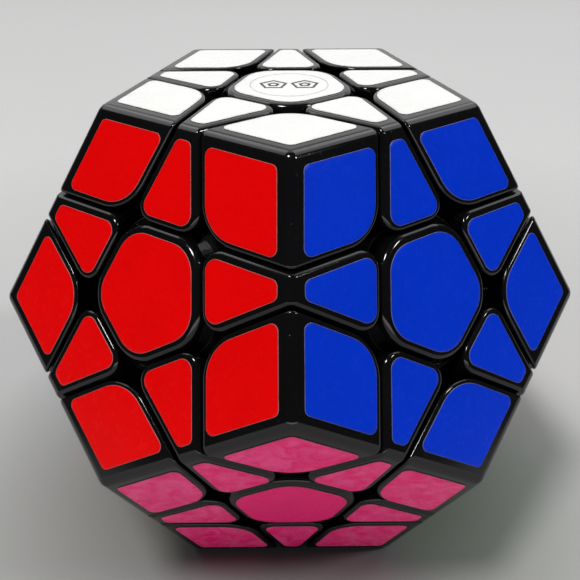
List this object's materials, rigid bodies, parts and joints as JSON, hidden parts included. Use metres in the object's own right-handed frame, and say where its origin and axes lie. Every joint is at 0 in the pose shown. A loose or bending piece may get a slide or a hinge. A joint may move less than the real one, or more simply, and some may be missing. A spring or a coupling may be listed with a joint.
{
  "type": "dodecahedron twisty puzzle",
  "caption": "Dodecahedron-shaped twisty puzzle of black plastic pieces with coloured stickers, held by a sprung core; its top, lower front and lower back layers turn freely.",
  "frame": {"origin": "centre of the puzzle, where the twelve face axes meet", "axes": "+Z along the white face's axis, up; -Y to the front, between the red and the blue face; +X to the right"},
  "size_m": [0.0772, 0.0812, 0.0662],
  "materials": {
    "black_plastic": "glossy black moulded plastic",
    "inner_plastic": "black moulded plastic of the inner parts",
    "core": "satin black moulded plastic",
    "screws": "plain steel",
    "washers": "plain steel",
    "springs": "plain spring steel",
    "mark": "printed line",
    "white_sticker": "satin vinyl sticker",
    "red_sticker": "satin vinyl sticker",
    "blue_sticker": "satin vinyl sticker",
    "yellow_sticker": "satin vinyl sticker",
    "purple_sticker": "satin vinyl sticker",
    "green_sticker": "satin vinyl sticker",
    "pink_sticker": "satin vinyl sticker",
    "light_green_sticker": "satin vinyl sticker",
    "orange_sticker": "satin vinyl sticker",
    "light_blue_sticker": "satin vinyl sticker",
    "beige_sticker": "satin vinyl sticker",
    "grey_sticker": "satin vinyl sticker"
  },
  "bodies": {
    "puzzle_body": {"core": "core", "screws": "screws", "washers": "washers", "springs": "springs", "fixed_centre_bases": "inner_plastic", "fixed_centre_caps": "black_plastic", "fixed_corner_shells": "black_plastic", "fixed_corner_feet": "inner_plastic", "fixed_edge_shells": "black_plastic", "fixed_edge_feet": "inner_plastic", "red_stickers_fixed": "red_sticker", "blue_stickers_fixed": "blue_sticker", "yellow_stickers_fixed": "yellow_sticker", "purple_stickers_fixed": "purple_sticker", "green_stickers_fixed": "green_sticker", "light_green_stickers_fixed": "light_green_sticker", "orange_stickers_fixed": "orange_sticker", "beige_stickers_fixed": "beige_sticker", "grey_stickers_fixed": "grey_sticker"},
    "white_layer": {"white_mark": "mark", "white_centre_base": "inner_plastic", "white_centre_cap": "black_plastic", "white_corner_shells": "black_plastic", "white_corner_feet": "inner_plastic", "white_edge_shells": "black_plastic", "white_edge_feet": "inner_plastic", "white_stickers": "white_sticker", "red_stickers_white_layer": "red_sticker", "blue_stickers_white_layer": "blue_sticker", "yellow_stickers_white_layer": "yellow_sticker", "purple_stickers_white_layer": "purple_sticker", "green_stickers_white_layer": "green_sticker"},
    "pink_layer": {"pink_centre_base": "inner_plastic", "pink_centre_cap": "black_plastic", "pink_corner_shells": "black_plastic", "pink_corner_feet": "inner_plastic", "pink_edge_shells": "black_plastic", "pink_edge_feet": "inner_plastic", "pink_stickers": "pink_sticker", "red_stickers_pink_layer": "red_sticker", "blue_stickers_pink_layer": "blue_sticker", "light_green_stickers_pink_layer": "light_green_sticker", "beige_stickers_pink_layer": "beige_sticker", "grey_stickers_pink_layer": "grey_sticker"},
    "light_blue_layer": {"light_blue_centre_base": "inner_plastic", "light_blue_centre_cap": "black_plastic", "light_blue_corner_shells": "black_plastic", "light_blue_corner_feet": "inner_plastic", "light_blue_edge_shells": "black_plastic", "light_blue_edge_feet": "inner_plastic", "light_blue_stickers": "light_blue_sticker", "purple_stickers_light_blue_layer": "purple_sticker", "green_stickers_light_blue_layer": "green_sticker", "orange_stickers_light_blue_layer": "orange_sticker", "beige_stickers_light_blue_layer": "beige_sticker", "grey_stickers_light_blue_layer": "grey_sticker"}
  },
  "joints": [
    {"name": "white_turn", "type": "hinge", "parent": "puzzle_body", "child": "white_layer", "pos_m": [0, 0, 0], "axis": [0, 0, 1], "continuous": true},
    {"name": "pink_turn", "type": "hinge", "parent": "puzzle_body", "child": "pink_layer", "pos_m": [0, 0, 0], "axis": [0, -0.8944, -0.4472], "continuous": true},
    {"name": "light_blue_turn", "type": "hinge", "parent": "puzzle_body", "child": "light_blue_layer", "pos_m": [0, 0, 0], "axis": [-0.5257, 0.7236, -0.4472], "continuous": true}
  ]
}
